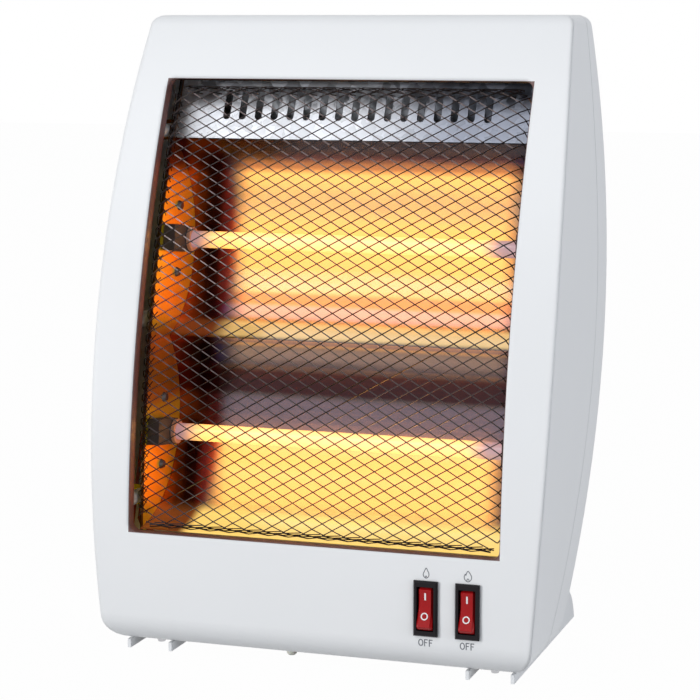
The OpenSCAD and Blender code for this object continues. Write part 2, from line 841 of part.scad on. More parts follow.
module tube_cap(at, side) {
  chamfer = 3;
  color("wheat") place() mirror([side > 0 ? 0 : 1, 0, 0]) difference() {
    union() {
      at_bracket(at) along_x(cap_face, box_half - seat)
        polygon([[-cap_front, cap_h / 2], [cap_rear - chamfer, cap_h / 2], [cap_rear, cap_h / 2 - chamfer],
                 [cap_rear, -cap_h / 2 + chamfer], [cap_rear - chamfer, -cap_h / 2],
                 [-cap_front, -cap_h / 2]]);
      bar_x(at, collar_d, cap_face - collar_l, cap_face + eps);
      bar_x(at, neck_d, cap_face, neck_end);
    }
    bar_x(at, tube_d + seat, cap_face - collar_l - 1, tube_half + seat);
    bar_x(at, coil_wire_d + 2 * fit, 0, far);
  }
}

module tube_cap_upper_left() { tube_cap(upper_tube, -1); }
module tube_cap_upper_right() { tube_cap(upper_tube, 1); }
module tube_cap_lower_left() { tube_cap(lower_tube, -1); }
module tube_cap_lower_right() { tube_cap(lower_tube, 1); }

// Bracket outside the end plate, which holds a cap by its neck
module tube_bracket(at, side) {
  reach = bracket_reach + 6;
  edge = neck_d / 2 + 3;
  x0 = box_half + sheet_t + seat;
  color("lightgray") place() mirror([side > 0 ? 0 : 1, 0, 0]) difference() {
    union() {
      at_bracket(at) along_x(x0, x0 + 1) translate([-edge, -reach]) square(2 * [edge, reach]);
      at_bracket(at) along_x(x0, x0 + 5) for (z = [-1, 1])
        translate([-edge, z * (reach - 0.5) - 0.5]) square([2 * edge, 1]);
    }
    bar_x(at, neck_d + fit, 0, far);
    at_bracket(at) for (z = [-1, 1])
      bar_x([bracket_back, z * bracket_reach], screw_d * 0.85, 0, far);
  }
}

module tube_bracket_upper_left() { tube_bracket(upper_tube, -1); }
module tube_bracket_upper_right() { tube_bracket(upper_tube, 1); }
module tube_bracket_lower_left() { tube_bracket(lower_tube, -1); }
module tube_bracket_lower_right() { tube_bracket(lower_tube, 1); }

module bracket_screws() {
  color("dimgray") place()
    for (s = [-1, 1], t = tube_ats, z = [-1, 1])
      mirror([s > 0 ? 0 : 1, 0, 0]) at_bracket(t)
        translate([box_half - eps, bracket_back, z * bracket_reach]) rotate([0, -90, 0]) screw(5);
}

// Terminals crimped on the leads outside the box
terminal_l = 6.5;
lead_end = neck_end + terminal_l - fit;   // the leads end inside them

module lead_terminals() {
  color("gold") place() for (s = [-1, 1], t = tube_ats)
    mirror([s > 0 ? 0 : 1, 0, 0]) difference() {
      bar_x(t, 4.4, neck_end + seat, neck_end + terminal_l);
      bar_x(t, coil_wire_d + seat, 0, neck_end + 2 * terminal_l);
    }
}

// Rocker switches, drawn round the rocker's pin
module at_switch(i) {
  translate([switch_x + i * switch_pitch, pin_y, switch_z]) children();
}

// One outline of the bezel, with its front edges bevelled
function bezel_outline(half) =
    [[0, -half], [-bezel_t / 2, -half], [-bezel_t, -half + 0.8],
     [-bezel_t, half - 0.8], [-bezel_t / 2, half], [0, half]];

module switch_body(i) {
  cavity_w = rocker_w + 2 * fit;
  catch_y = wall + 2 * seat;
  color("black") place() at_switch(i) difference() {
    union() {
      translate([0, -pin_y, 0]) intersection() {
        along_x(-bezel_w, bezel_w) polygon(bezel_outline(bezel_h / 2));
        translate([0, 0, -bezel_h]) linear_extrude(height = 2 * bezel_h)
          polygon([for (p = bezel_outline(bezel_w / 2)) [-p.y, p.x]]);
      }
      translate([-switch_w / 2, -pin_y - eps, -switch_h / 2]) cube([switch_w, switch_d, switch_h]);
      // Catches behind the panel
      for (z = [-1, 1])
        translate([0, -pin_y, 0]) along_x(-3, 3)
          polygon([[catch_y, z * (switch_h / 2 - 1)], [catch_y, z * (switch_h / 2 + 0.9)],
                   [catch_y + 5, z * (switch_h / 2 - 1)]]);
    }
    along_x(-cavity_w / 2, cavity_w / 2) intersection() {
      circle(rocker_end_r + fit);
      translate([-far, -far]) square([far + rocker_back + 2.5, 2 * far]);
    }
    along_x(-rocker_w / 2 - 0.9, rocker_w / 2 + 0.9) circle(d = pin_d + seat);
  }
}

module switch_body_left() { switch_body(0); }
module switch_body_right() { switch_body(1); }

// The rocker's face is two flats in a shallow V. It rests with its upper end
// pressed in.
module rocker(i) {
  slant = 2 * rocker_half * tan(rocker_tilt);
  color("red") place() at_switch(i) rotate([-rocker_tilt, 0, 0]) {
    along_x(-rocker_w / 2, rocker_w / 2) intersection() {
      circle(rocker_end_r);
      polygon([[rocker_face, 0], [rocker_face - slant, 2 * rocker_half],
               [rocker_back, 2 * rocker_half], [rocker_back, -2 * rocker_half],
               [rocker_face - slant, -2 * rocker_half]]);
    }
    along_x(-rocker_w / 2 - 0.7, rocker_w / 2 + 0.7) circle(d = pin_d);
  }
}

module rocker_left() { rocker(0); }
module rocker_right() { rocker(1); }

tab_l = 8;
tab_zs = [-8, 0, 8];

module switch_tabs() {
  color("gold") place() for (i = [0, 1], z = tab_zs)
    at_switch(i) translate([-2.4, switch_d - pin_y + seat, z - 0.4]) difference() {
      cube([4.8, tab_l, 0.8]);
      translate([2.4, tab_l - 2.5, -1]) cylinder(h = 3, d = 1.6);
    }
}

// Tip-over switch: a sprung plunger that the floor holds up
tip_w = 26;
tip_d = 13;
tip_h = 22;
flange_h = 1.6;
floor_z = floor_gap + wall;         // inside of the housing's underside
tip_y = seam_y(floor_z) - tip_ahead;
plunger_gap = 0.3;                  // above the floor

module tip_switch_body() {
  hollow_h = plunger_travel + flange_h + 2 * fit + 6;
  color("dimgray") place() translate([-tip_x, tip_y, floor_z + seat]) difference() {
    translate([-tip_w / 2, -tip_d / 2, 0]) cube([tip_w, tip_d, tip_h]);
    translate([0, 0, -1]) cylinder(h = 3, d = plunger_d + 2 * fit);
    translate([0, 0, 1.5]) cylinder(h = hollow_h, d = plunger_d + 3 + 2 * fit);
    for (x = [-1, 1]) translate([x * (tip_w / 2 - 3), 0, -1]) cylinder(h = tip_h + 2, d = 2.4);
  }
}

module tip_switch_plunger() {
  low = plunger_gap;
  collar_z = floor_z + seat + 1.5 + fit + plunger_travel;
  color("ivory") place() translate([-tip_x, tip_y, 0]) union() {
    translate([0, 0, low + 1]) cylinder(h = collar_z + flange_h - low - 1, d = plunger_d);
    translate([0, 0, low]) cylinder(h = 1 + eps, d1 = plunger_d - 2, d2 = plunger_d);
    translate([0, 0, collar_z]) cylinder(h = flange_h, d = plunger_d + 3);
  }
}

// Thermal cut-out on the outside of the left end plate
cutout_at = [82, 158];

module thermal_cutout() {
  x0 = -box_half - sheet_t - seat;
  color("saddlebrown") place() union() {
    bar_x(cutout_at, 15, x0 - 6, x0);
    bar_x(cutout_at, 18, x0 - 2, x0 - 1);
    for (z = [-1, 1])
      translate([x0 - 6, cutout_at.x - 2.4, cutout_at.y + z * 8 - 5]) cube([0.8, 4.8, 10]);
  }
}

// Terminal block on the floor of the housing
block_x = 75;
block_w = 34;
block_d = 13;
block_h = 14;

module terminal_block() {
  color("ghostwhite") place() translate([-block_x, tip_y, floor_z + seat]) difference() {
    translate([-block_w / 2, -block_d / 2, 0]) cube([block_w, block_d, block_h]);
    for (i = [-1 : 1]) translate([i * 10, 0, 0]) {
      translate([0, 0, block_h / 2]) rotate([90, 0, 0]) cylinder(h = 2 * block_d, d = 3, center = true);
      translate([0, 0, block_h - 5]) cylinder(h = 6, d = 3.4);
    }
  }
}

// Insulated wires along routes of points, with their corners rounded off
wire_run_d = 2.4;

function soft_route(p) =
    let (n = len(p) - 1)
    concat([p[0]],
           [for (i = [1 : n - 1])
            let (a = p[i - 1] - p[i], b = p[i + 1] - p[i], c = min(3, norm(a) / 2.5, norm(b) / 2.5))
            each [p[i] + c * unit(a), p[i] + c * unit(b)]],
           [p[n]]);

module wires(routes) {
  place() tubes([for (p = routes) path_rings(soft_route(p), wire_run_d / 2, 8, [1, 0.2, 0.1])], 8);
}

lead_x = neck_end + terminal_l + seat;   // outer end of a lead terminal
wire_x = post_x + post_d / 2 + 2;   // wires run down outside the posts
block_top = floor_z + seat + block_h - 3;
tip_top = floor_z + seat + tip_h + fit;
tab_y = switch_d + seat + tab_l + fit;

module wiring_left() {
  tab_x = -box_half - sheet_t - seat - 5.6;
  tab_end = 13 + fit;
  color("firebrick") wires([
    [[-lead_x, upper_tube.x, upper_tube.y], [-lead_x - 1.5, upper_tube.x, upper_tube.y],
     [-wire_x, upper_tube.x + 4, upper_tube.y - 8],
     [-wire_x, cutout_at.x, cutout_at.y + 25], [tab_x, cutout_at.x, cutout_at.y + 19],
     [tab_x, cutout_at.x, cutout_at.y + tab_end]],
    [[tab_x, cutout_at.x, cutout_at.y - tab_end], [tab_x, cutout_at.x, cutout_at.y - 19],
     [-wire_x, cutout_at.x - 6, cutout_at.y - 28], [-wire_x, tip_y + 25, box_z - 3],
     [-block_x - 10, tip_y + 12, box_z - 18], [-block_x - 10, tip_y, block_top + 10],
     [-block_x - 10, tip_y, block_top]],
    [[-lead_x, lower_tube.x, lower_tube.y], [-lead_x - 1.5, lower_tube.x, lower_tube.y],
     [-wire_x, lower_tube.x + 5, lower_tube.y - 8],
     [-wire_x, tip_y + 13, box_z - 9], [-block_x, tip_y + 7, box_z - 22],
     [-block_x, tip_y, block_top + 10], [-block_x, tip_y, block_top]]]);
}

module wiring_right() {
  x2 = switch_x + switch_pitch;
  color("firebrick") wires([
    [[lead_x, upper_tube.x, upper_tube.y], [lead_x + 1.5, upper_tube.x, upper_tube.y],
     [wire_x, upper_tube.x + 3, upper_tube.y - 8],
     [wire_x, tip_y + 33, box_z - 4], [x2, tab_y + 14, switch_z + 14],
     [x2, tab_y + 6, switch_z + tab_zs[2]], [x2, tab_y, switch_z + tab_zs[2]]],
    [[lead_x, lower_tube.x, lower_tube.y], [lead_x + 1.5, lower_tube.x, lower_tube.y],
     [wire_x, lower_tube.x + 5, lower_tube.y - 8],
     [wire_x, tip_y + 19, box_z - 10], [switch_x, tab_y + 12, switch_z + tab_zs[0]],
     [switch_x, tab_y, switch_z + tab_zs[0]]]]);
}

module wiring_supply() {
  x2 = switch_x + switch_pitch;
  color("royalblue") wires([
    [[-block_x + 10, tip_y, block_top], [-block_x + 10, tip_y, block_top + 10],
     [-block_x + 16, tip_y + 4, block_top + 16], [-tip_x - 8, tip_y + 4, tip_top + 8],
     [-tip_x - 8, tip_y, tip_top + 5], [-tip_x - 8, tip_y, tip_top]],
    [[-tip_x + 8, tip_y, tip_top], [-tip_x + 8, tip_y, tip_top + 6],
     [-tip_x + 14, tip_y + 8, tip_top + 10], [switch_x - 12, tab_y + 7, switch_z],
     [switch_x - 1.3, tab_y + 5, switch_z], [switch_x - 1.3, tab_y, switch_z]],
    [[switch_x + 1.3, tab_y, switch_z], [switch_x + 1.3, tab_y + 4, switch_z],
     [x2, tab_y + 4, switch_z], [x2, tab_y, switch_z]]]);
}

// Cord inlet: a flanged bush in the rear cover
inlet_wall = 2.2;

module cord_inlet() {
  flange_d = inlet_d + 2 * inlet_wall + 7;
  color("black") place() on_back(-inlet_x, inlet_z) rotate([90, 0, 0]) difference() {
    union() {
      translate([0, 0, -3]) cylinder(h = 3 - seat, d = flange_d);
      translate([0, 0, -eps - seat]) cylinder(h = 12, d = inlet_d + 2 * inlet_wall);
    }
    cylinder(h = far, d = inlet_d, center = true);
  }
}

front_housing();
rear_cover();
foot_left();
foot_right();
grille();
reflector();
end_plate_left();
end_plate_right();
top_vent_plate();
heat_shield();
quartz_tube_upper();
quartz_tube_lower();
heating_coil_upper();
heating_coil_lower();
tube_cap_upper_left();
tube_cap_upper_right();
tube_cap_lower_left();
tube_cap_lower_right();
tube_bracket_upper_left();
tube_bracket_upper_right();
tube_bracket_lower_left();
tube_bracket_lower_right();
bracket_screws();
lead_terminals();
chassis_screws();
switch_body_left();
switch_body_right();
rocker_left();
rocker_right();
switch_tabs();
tip_switch_body();
tip_switch_plunger();
thermal_cutout();
terminal_block();
wiring_left();
wiring_right();
wiring_supply();
cord_inlet();
rear_cover_screws();
foot_screws();
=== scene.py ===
# Halogen heater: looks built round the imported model. Finishes and stage are in metres, and the
# shapes drawn here are in millimetres until their mesh is made.
import math

import bpy
import numpy as np
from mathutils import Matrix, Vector


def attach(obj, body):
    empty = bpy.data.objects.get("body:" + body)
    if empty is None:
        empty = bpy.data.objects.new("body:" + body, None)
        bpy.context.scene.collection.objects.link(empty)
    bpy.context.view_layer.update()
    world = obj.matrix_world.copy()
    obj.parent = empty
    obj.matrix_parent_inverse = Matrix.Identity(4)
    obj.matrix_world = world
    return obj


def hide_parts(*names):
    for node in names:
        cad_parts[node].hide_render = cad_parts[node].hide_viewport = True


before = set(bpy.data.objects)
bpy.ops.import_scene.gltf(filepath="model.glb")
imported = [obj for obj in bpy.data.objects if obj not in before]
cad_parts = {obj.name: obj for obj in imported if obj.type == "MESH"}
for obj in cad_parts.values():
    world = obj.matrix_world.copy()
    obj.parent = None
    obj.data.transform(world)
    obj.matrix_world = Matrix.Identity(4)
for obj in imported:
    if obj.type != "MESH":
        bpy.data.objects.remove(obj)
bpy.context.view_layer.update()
print("model loaded:", len(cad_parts), "parts")

# The front face as seen from the side, in mm: a large arc that stands upright at the height
# "level", and from "toeTop" down the toe's smaller arc, which starts "toeIn" behind it
placeY = -78.1669  # where the upright stretch lies in the frame
face = {"radius": 640.0, "level": 45.0, "toeTop": 23.5, "toeIn": 0.36, "toeRadius": 18.0,
        "toeDrop": 17.9}

# The window's outline, in metres, and where the two switches stand across the face, in mm
window = {"halfWide": 0.1105, "middle": 0.20175, "halfTall": 0.12925}
switches = {"left": 69.0, "right": 93.0}


# Camera, at the viewing angle of the photograph

shot = {
    "from": (0.4083, -1.22617, 0.3652),
    "to": (0.02465, -0.07817, 0.18508),
    "lens": 114.1,
    "sensor": 36.0,
}


def aimAt(obj, target):
    # turns an object's -Z axis towards a point
    away = obj.location - Vector(target)
    obj.rotation_euler = away.to_track_quat("Z", "Y").to_euler()


def makeCamera():
    data = bpy.data.cameras.new("camera")
    data.sensor_width = shot["sensor"]
    data.lens = shot["lens"]
    cam = bpy.data.objects.new("camera", data)
    bpy.context.scene.collection.objects.link(cam)
    cam.location = shot["from"]
    aimAt(cam, shot["to"])
    bpy.context.scene.camera = cam


makeCamera()


# Mesh helpers

leastCosine = 0.4  # of half a turn: a ribbon's sharpest corner is no wider than this allows


def meshPiece(name, points, faces, smooth=True):
    mesh = bpy.data.meshes.new(name)
    mesh.from_pydata(np.asarray(points, float).tolist(), [], faces)
    mesh.update()
    mesh.shade_smooth() if smooth else mesh.shade_flat()
    obj = bpy.data.objects.new(name, mesh)
    bpy.context.scene.collection.objects.link(obj)
    return obj


def gridFaces(rows, cols, wrapRows=False, wrapCols=False):
    # quads between neighbours of a rows by cols grid of points
    r = np.arange(rows if wrapRows else rows - 1)
    c = np.arange(cols if wrapCols else cols - 1)
    r, c = np.meshgrid(r, c, indexing="ij")
    r, c = r.ravel(), c.ravel()
    r2, c2 = (r + 1) % rows, (c + 1) % cols
    corners = [r * cols + c, r * cols + c2, r2 * cols + c2, r2 * cols + c]
    return np.stack(corners, 1).tolist()


def ribbon(path, width, thick, closed=False):
    # A rectangle of width by thick carried along a flat path of (a, b) points. At each
    # point it stands on the mean of the two directions that meet there, made wider by
    # one over the cosine of half the turn. Gives (a, b, height) points and quads.
    p = np.asarray(path, float)
    if closed:
        before, after = p - np.roll(p, 1, 0), np.roll(p, -1, 0) - p
    else:
        step = np.diff(p, axis=0)
        before, after = np.vstack([step[:1], step]), np.vstack([step, step[-1:]])
    before /= np.linalg.norm(before, axis=1)[:, None]
    after /= np.linalg.norm(after, axis=1)[:, None]
    mean = before + after
    mean /= np.linalg.norm(mean, axis=1)[:, None]
    half = width / 2 / np.clip((mean * after).sum(1), leastCosine, 1)
    side = np.stack([-mean[:, 1], mean[:, 0]], 1) * half[:, None]
    rings = np.zeros((len(p), 4, 3))
    rings[:, [0, 1], :2] = (p + side)[:, None]
    rings[:, [2, 3], :2] = (p - side)[:, None]
    rings[:, [1, 2], 2] = thick
    faces = gridFaces(len(p), 4, closed, True)
    if not closed:
        n = 4 * (len(p) - 1)
        faces += [[3, 2, 1, 0], [n, n + 1, n + 2, n + 3]]
    return rings.reshape(-1, 3), faces


def joinParts(parts):
    # several (points, faces) pairs as one
    points, faces, start = [], [], 0
    for p, f in parts:
        points.append(p)
        faces += [[i + start for i in q] for q in f]
        start += len(p)
    return np.vstack(points), faces


# Finishes: shared effects

mixFirst, mixSecond, mixOut = 6, 7, 2  # a Mix node's sockets for colours
threeOut = (("Color", "Color"), ("Roughness", "Float"), ("Normal", "Vector"))


def addNode(tree, kind, values=(), **settings):
    node = tree.nodes.new("ShaderNode" + kind)
    for key, value in settings.items():
        setattr(node, key, value)
    for key, value in dict(values).items():
        node.inputs[key].default_value = value
    return node


def addRange(tree, fromLow, fromHigh, toLow, toHigh, **settings):
    ends = {1: fromLow, 2: fromHigh, 3: toLow, 4: toHigh}
    return addNode(tree, "MapRange", ends, **settings)


def makeGroup(name, inputs, outputs):
    group = bpy.data.node_groups.new(name, "ShaderNodeTree")
    sockets = group.interface
    for label, kind, value in inputs:
        socket = sockets.new_socket(label, in_out="INPUT", socket_type="NodeSocket" + kind)
        socket.default_value = value
    for label, kind in outputs:
        sockets.new_socket(label, in_out="OUTPUT", socket_type="NodeSocket" + kind)
    return group, group.nodes.new("NodeGroupInput"), group.nodes.new("NodeGroupOutput")


def wire(tree, *pairs):
    for a, b in pairs:
        tree.links.new(a, b)


def toneAndGloss(g, gin, gout, source, amount, share=1.0):
    # A value that swings round a half moves the group's colour as far as the input named by
    # amount says, and the roughness by a share of that
    centred = addNode(g, "Math", {1: 0.5}, operation="SUBTRACT")
    swing = addNode(g, "Math", operation="MULTIPLY")
    tone = addNode(g, "Math", {1: 1.0}, operation="ADD")
    colour = addNode(g, "VectorMath", operation="SCALE")
    part = addNode(g, "Math", {1: share}, operation="MULTIPLY")
    gloss = addNode(g, "Math", operation="ADD")
    wire(g, (source, centred.inputs[0]), (centred.outputs[0], swing.inputs[0]),
         (gin.outputs[amount], swing.inputs[1]), (swing.outputs[0], tone.inputs[0]),
         (gin.outputs["Color"], colour.inputs[0]), (tone.outputs[0], colour.inputs["Scale"]),
         (swing.outputs[0], part.inputs[0]), (gin.outputs["Roughness"], gloss.inputs[0]),
         (part.outputs[0], gloss.inputs[1]), (colour.outputs[0], gout.inputs["Color"]),
         (gloss.outputs[0], gout.inputs["Roughness"]))


def makeMouldGrain():
    # Moulded plastic: fine spark-eroded grain, a slow drift of tone and gloss, and edges that
    # shade as if they were rounded to Edge metres
    g, gin, gout = makeGroup("mouldGrain", (
        ("Color", "Color", (0.8, 0.8, 0.8, 1)), ("Roughness", "Float", 0.4),
        ("Grain Scale", "Float", 1500.0), ("Grain Depth", "Float", 0.1),
        ("Drift", "Float", 0.03), ("Edge", "Float", 0.0003)), threeOut)
    co = addNode(g, "TexCoord")
    fine = addNode(g, "TexNoise", {"Detail": 2.0, "Roughness": 0.6})
    slow = addNode(g, "TexNoise", {"Scale": 14.0, "Detail": 3.0})
    bump = addNode(g, "Bump", {"Distance": 0.0001})
    edge = addNode(g, "Bevel", samples=4)
    wire(g, (gin.outputs["Edge"], edge.inputs["Radius"]),
         (edge.outputs[0], bump.inputs["Normal"]),
         (co.outputs["Object"], fine.inputs["Vector"]),
         (co.outputs["Object"], slow.inputs["Vector"]),
         (gin.outputs["Grain Scale"], fine.inputs["Scale"]),
         (fine.outputs["Fac"], bump.inputs["Height"]),
         (gin.outputs["Grain Depth"], bump.inputs["Strength"]),
         (bump.outputs[0], gout.inputs["Normal"]))
    toneAndGloss(g, gin, gout, slow.outputs["Fac"], "Drift")
    return g


def makeRolledSheet():
    # Rolled metal: long scratches along the rolling direction and a slow unevenness
    g, gin, gout = makeGroup("rolledSheet", (
        ("Color", "Color", (0.6, 0.6, 0.6, 1)), ("Roughness", "Float", 0.3),
        ("Scratch", "Float", 0.1), ("Wave Scale", "Float", 60.0),
        ("Wave", "Float", 0.2)), threeOut)
    co = addNode(g, "TexCoord")
    stretch = addNode(g, "Mapping", {"Scale": (12.0, 900.0, 900.0)})
    scratch = addNode(g, "TexNoise", {"Scale": 1.0, "Detail": 3.0})
    wave = addNode(g, "TexNoise", {"Detail": 2.0})
    first = addNode(g, "Bump", {"Distance": 0.001})
    second = addNode(g, "Bump", {"Distance": 0.00005})
    wire(g, (co.outputs["Object"], stretch.inputs[0]),
         (stretch.outputs[0], scratch.inputs["Vector"]),
         (co.outputs["Object"], wave.inputs["Vector"]),
         (gin.outputs["Wave Scale"], wave.inputs["Scale"]),
         (wave.outputs["Fac"], first.inputs["Height"]),
         (gin.outputs["Wave"], first.inputs["Strength"]),
         (scratch.outputs["Fac"], second.inputs["Height"]),
         (gin.outputs["Scratch"], second.inputs["Strength"]),
         (first.outputs[0], second.inputs["Normal"]),
         (second.outputs[0], gout.inputs["Normal"]))
    toneAndGloss(g, gin, gout, scratch.outputs["Fac"], "Scratch")
    return g


def makeSpangle():
    # Hot-dip zinc: crystals of a few millimetres, each with its own tone and gloss
    g, gin, gout = makeGroup("spangle", (
        ("Color", "Color", (0.6, 0.6, 0.6, 1)), ("Roughness", "Float", 0.35),
        ("Crystal Scale", "Float", 160.0), ("Contrast", "Float", 0.5)), threeOut)
    co = addNode(g, "TexCoord")
    bend = addNode(g, "TexNoise", {"Scale": 220.0, "Detail": 2.0})
    shift = addNode(g, "VectorMath", {"Scale": 0.004}, operation="SCALE")
    place = addNode(g, "VectorMath", operation="ADD")
    cell = addNode(g, "TexVoronoi")
    split = addNode(g, "SeparateColor")
    bump = addNode(g, "Bump", {"Distance": 0.00015, "Strength": 0.25})
    wire(g, (co.outputs["Object"], bend.inputs["Vector"]),
         (bend.outputs["Color"], shift.inputs[0]),
         (co.outputs["Object"], place.inputs[0]), (shift.outputs[0], place.inputs[1]),
         (place.outputs[0], cell.inputs["Vector"]),
         (gin.outputs["Crystal Scale"], cell.inputs["Scale"]),
         (cell.outputs["Color"], split.inputs[0]), (split.outputs[1], bump.inputs["Height"]),
         (bump.outputs[0], gout.inputs["Normal"]))
    toneAndGloss(g, gin, gout, split.outputs[0], "Contrast", 0.25)
    return g


def makePaintedBand():
    # Tints a colour where a distance lies between From and To, each end fading over Soft
    g, gin, gout = makeGroup("stainBand", (
        ("Color", "Color", (0.8, 0.8, 0.8, 1)), ("Tint", "Color", (1, 1, 1, 1)),
        ("Distance", "Float", 0.0), ("From", "Float", 0.0), ("To", "Float", 1.0),
        ("Soft", "Float", 0.001)), (("Color", "Color"),))
    mask = addNode(g, "Math", operation="MULTIPLY")
    for i, end in enumerate(("From", "To")):
        below = addNode(g, "Math", operation="SUBTRACT")
        above = addNode(g, "Math", operation="ADD")
        step = addRange(g, 0.0, 1.0, float(i), 1.0 - i, interpolation_type="SMOOTHSTEP")
        wire(g, (gin.outputs[end], below.inputs[0]), (gin.outputs["Soft"], below.inputs[1]),
             (gin.outputs[end], above.inputs[0]), (gin.outputs["Soft"], above.inputs[1]),
             (gin.outputs["Distance"], step.inputs[0]), (below.outputs[0], step.inputs[1]),
             (above.outputs[0], step.inputs[2]), (step.outputs[0], mask.inputs[i]))
    mix = addNode(g, "Mix", data_type="RGBA", blend_type="MULTIPLY")
    wire(g, (mask.outputs[0], mix.inputs[0]), (gin.outputs["Color"], mix.inputs[mixFirst]),
         (gin.outputs["Tint"], mix.inputs[mixSecond]),
         (mix.outputs[mixOut], gout.inputs["Color"]))
    return g


mouldGrain, rolledSheet, spangle = makeMouldGrain(), makeRolledSheet(), makeSpangle()
stainBand = makePaintedBand()


def effectFinish(name, group, values, shader=()):
    # a Principled finish whose colour, gloss and relief come from one shared effect
    mat = bpy.data.materials.new(name)
    mat.use_nodes = True
    tree = mat.node_tree
    body = tree.nodes["Principled BSDF"]
    effect = addNode(tree, "Group")
    effect.node_tree = group
    for key, value in values.items():
        effect.inputs[key].default_value = value
    for key, value in dict(shader).items():
        body.inputs[key].default_value = value
    wire(tree, (effect.outputs["Color"], body.inputs["Base Color"]),
         (effect.outputs["Roughness"], body.inputs["Roughness"]),
         (effect.outputs["Normal"], body.inputs["Normal"]))
    mat.diffuse_color = values["Color"]
    return mat


# Painted light and shade: bands of colour, laid on by place, that stand in for shade,
# reflections and warm light from the tubes. Each row is a band: its measure, its two ends
# and how softly they fade, in metres, and its tint. The measures come from the place on the
# object: "up" is the height, "across" the place from left to right, "along" the distance from
# the middle, "front" the depth behind the curved face, and "reveal" the distance outside the
# window's outline.

paintedLightAndShade = {
    "reflector": (
        # the reflector's bands are painted reflections and shade: most darken the sheet or tint
        # it blue, two brighten it (one at the ridge, one low down by the lower tube), and its
        # left end is dimmed to dark red
        ("up", 0.2885, 0.3100, 0.0020, (0.85, 0.75, 0.85, 1)),
        ("up", 0.2760, 0.2885, 0.0030, (0.42, 0.34, 0.46, 1)),
        ("up", 0.1960, 0.2025, 0.0015, (0.85, 0.65, 0.80, 1)),
        ("up", 0.1885, 0.1960, 0.0015, (0.82, 0.84, 2.10, 1)),
        ("up", 0.1788, 0.1885, 0.0015, (1.20, 0.95, 0.80, 1)),
        ("up", 0.1760, 0.1788, 0.0008, (0.40, 0.45, 1.00, 1)),
        ("up", 0.1600, 0.1760, 0.0030, (0.175, 0.25, 0.72, 1)),
        ("up", 0.1425, 0.1600, 0.0030, (0.21, 0.11, 0.13, 1)),
        ("up", 0.1220, 0.1425, 0.0020, (0.72, 0.60, 0.75, 1)),
        ("up", 0.0500, 0.0785, 0.0020, (1.60, 1.70, 1.30, 1)),
        ("across", -0.2, -0.084, 0.0040, (1.0, 0.24, 0.20, 1)),
    ),
    "end_plates": (
        # painted shade on the end plates: a dark strip along the front edge, a dark top and a
        # darker band by the ridge
        ("front", -0.01, 0.0215, 0.0003, (0.08, 0.05, 0.05, 1)),
        ("up", 0.2740, 1.0000, 0.0080, (0.16, 0.06, 0.10, 1)),
        ("up", 0.1400, 0.1860, 0.0050, (0.75, 0.36, 0.60, 1)),
    ),
    "housing": (
        # painted shade: the window's reveal, white plastic like the rest, is coloured a dark
        # red-brown
        ("reveal", -1.0, 0.0003, 0.0001, (0.16, 0.075, 0.07, 1)),
    ),
    "ceramic": (
        # painted shade on the caps beyond the lit stretch, near black, and a narrow warm ring of
        # painted glow light where they meet it
        ("along", 0.1030, 1.0000, 0.0002, (0.07, 0.045, 0.045, 1)),
        ("along", 0.0990, 0.1030, 0.0002, (1.1, 0.55, 0.35, 1)),
    ),
    "galvanised": (
        # painted shade: the vent plate darker and bluer towards the right
        ("across", 0.030, 1.0, 0.040, (0.42, 0.44, 0.50, 1)),
    ),
}

# Painted glow: warm light painted into the reflector as emission, close to the lower tube and
# above the ridge, standing for the tubes' light that the sheet bounces there: each is a colour,
# and the bands where it is dimmed
paintedGlints = (
    ((1.0, 0.66, 0.17, 1), (
        ("up", 0.0795, 1.0, 0.003, (0, 0, 0, 1)),
        ("across", -1.0, -0.084, 0.004, (0.1, 0.05, 0.05, 1)),
    )),
    ((0.62, 0.42, 0.15, 1), (
        ("up", -1.0, 0.1795, 0.001, (0, 0, 0, 1)),
        ("up", 0.1870, 1.0, 0.0015, (0, 0, 0, 1)),
        ("across", -1.0, -0.080, 0.008, (0.12, 0.06, 0.05, 1)),
    )),
)


def measureNodes(tree, kind):
    # z for "up", x for "across", |x| for "along"; for "front" the face's radius less the
    # distance from its axis; for "reveal" the greater of the distances outside the window's
    # sides and outside its top and bottom
    co = addNode(tree, "TexCoord")
    if kind == "front":
        axis = (0.0, (face["radius"] + placeY) / 1000, face["level"] / 1000)
        flat = addNode(tree, "VectorMath", {1: (0.0, 1.0, 1.0)}, operation="MULTIPLY")
        reach = addNode(tree, "VectorMath", {1: axis}, operation="DISTANCE")
        depth = addNode(tree, "Math", {0: face["radius"] / 1000}, operation="SUBTRACT")
        wire(tree, (co.outputs["Object"], flat.inputs[0]), (flat.outputs[0], reach.inputs[0]),
             (reach.outputs["Value"], depth.inputs[1]))
        return depth.outputs[0]
    split = addNode(tree, "SeparateXYZ")
    wire(tree, (co.outputs["Object"], split.inputs[0]))
    if kind in ("up", "across"):
        return split.outputs[2 if kind == "up" else 0]
    away = addNode(tree, "Math", operation="ABSOLUTE")
    wire(tree, (split.outputs[0], away.inputs[0]))
    if kind == "along":
        return away.outputs[0]
    wide = addNode(tree, "Math", {1: window["halfWide"]}, operation="SUBTRACT")
    middle = addNode(tree, "Math", {1: window["middle"]}, operation="SUBTRACT")
    upAway = addNode(tree, "Math", operation="ABSOLUTE")
    tall = addNode(tree, "Math", {1: window["halfTall"]}, operation="SUBTRACT")
    outside = addNode(tree, "Math", operation="MAXIMUM")
    wire(tree, (away.outputs[0], wide.inputs[0]), (split.outputs[2], middle.inputs[0]),
         (middle.outputs[0], upAway.inputs[0]), (upAway.outputs[0], tall.inputs[0]),
         (wide.outputs[0], outside.inputs[0]), (tall.outputs[0], outside.inputs[1]))
    return outside.outputs[0]


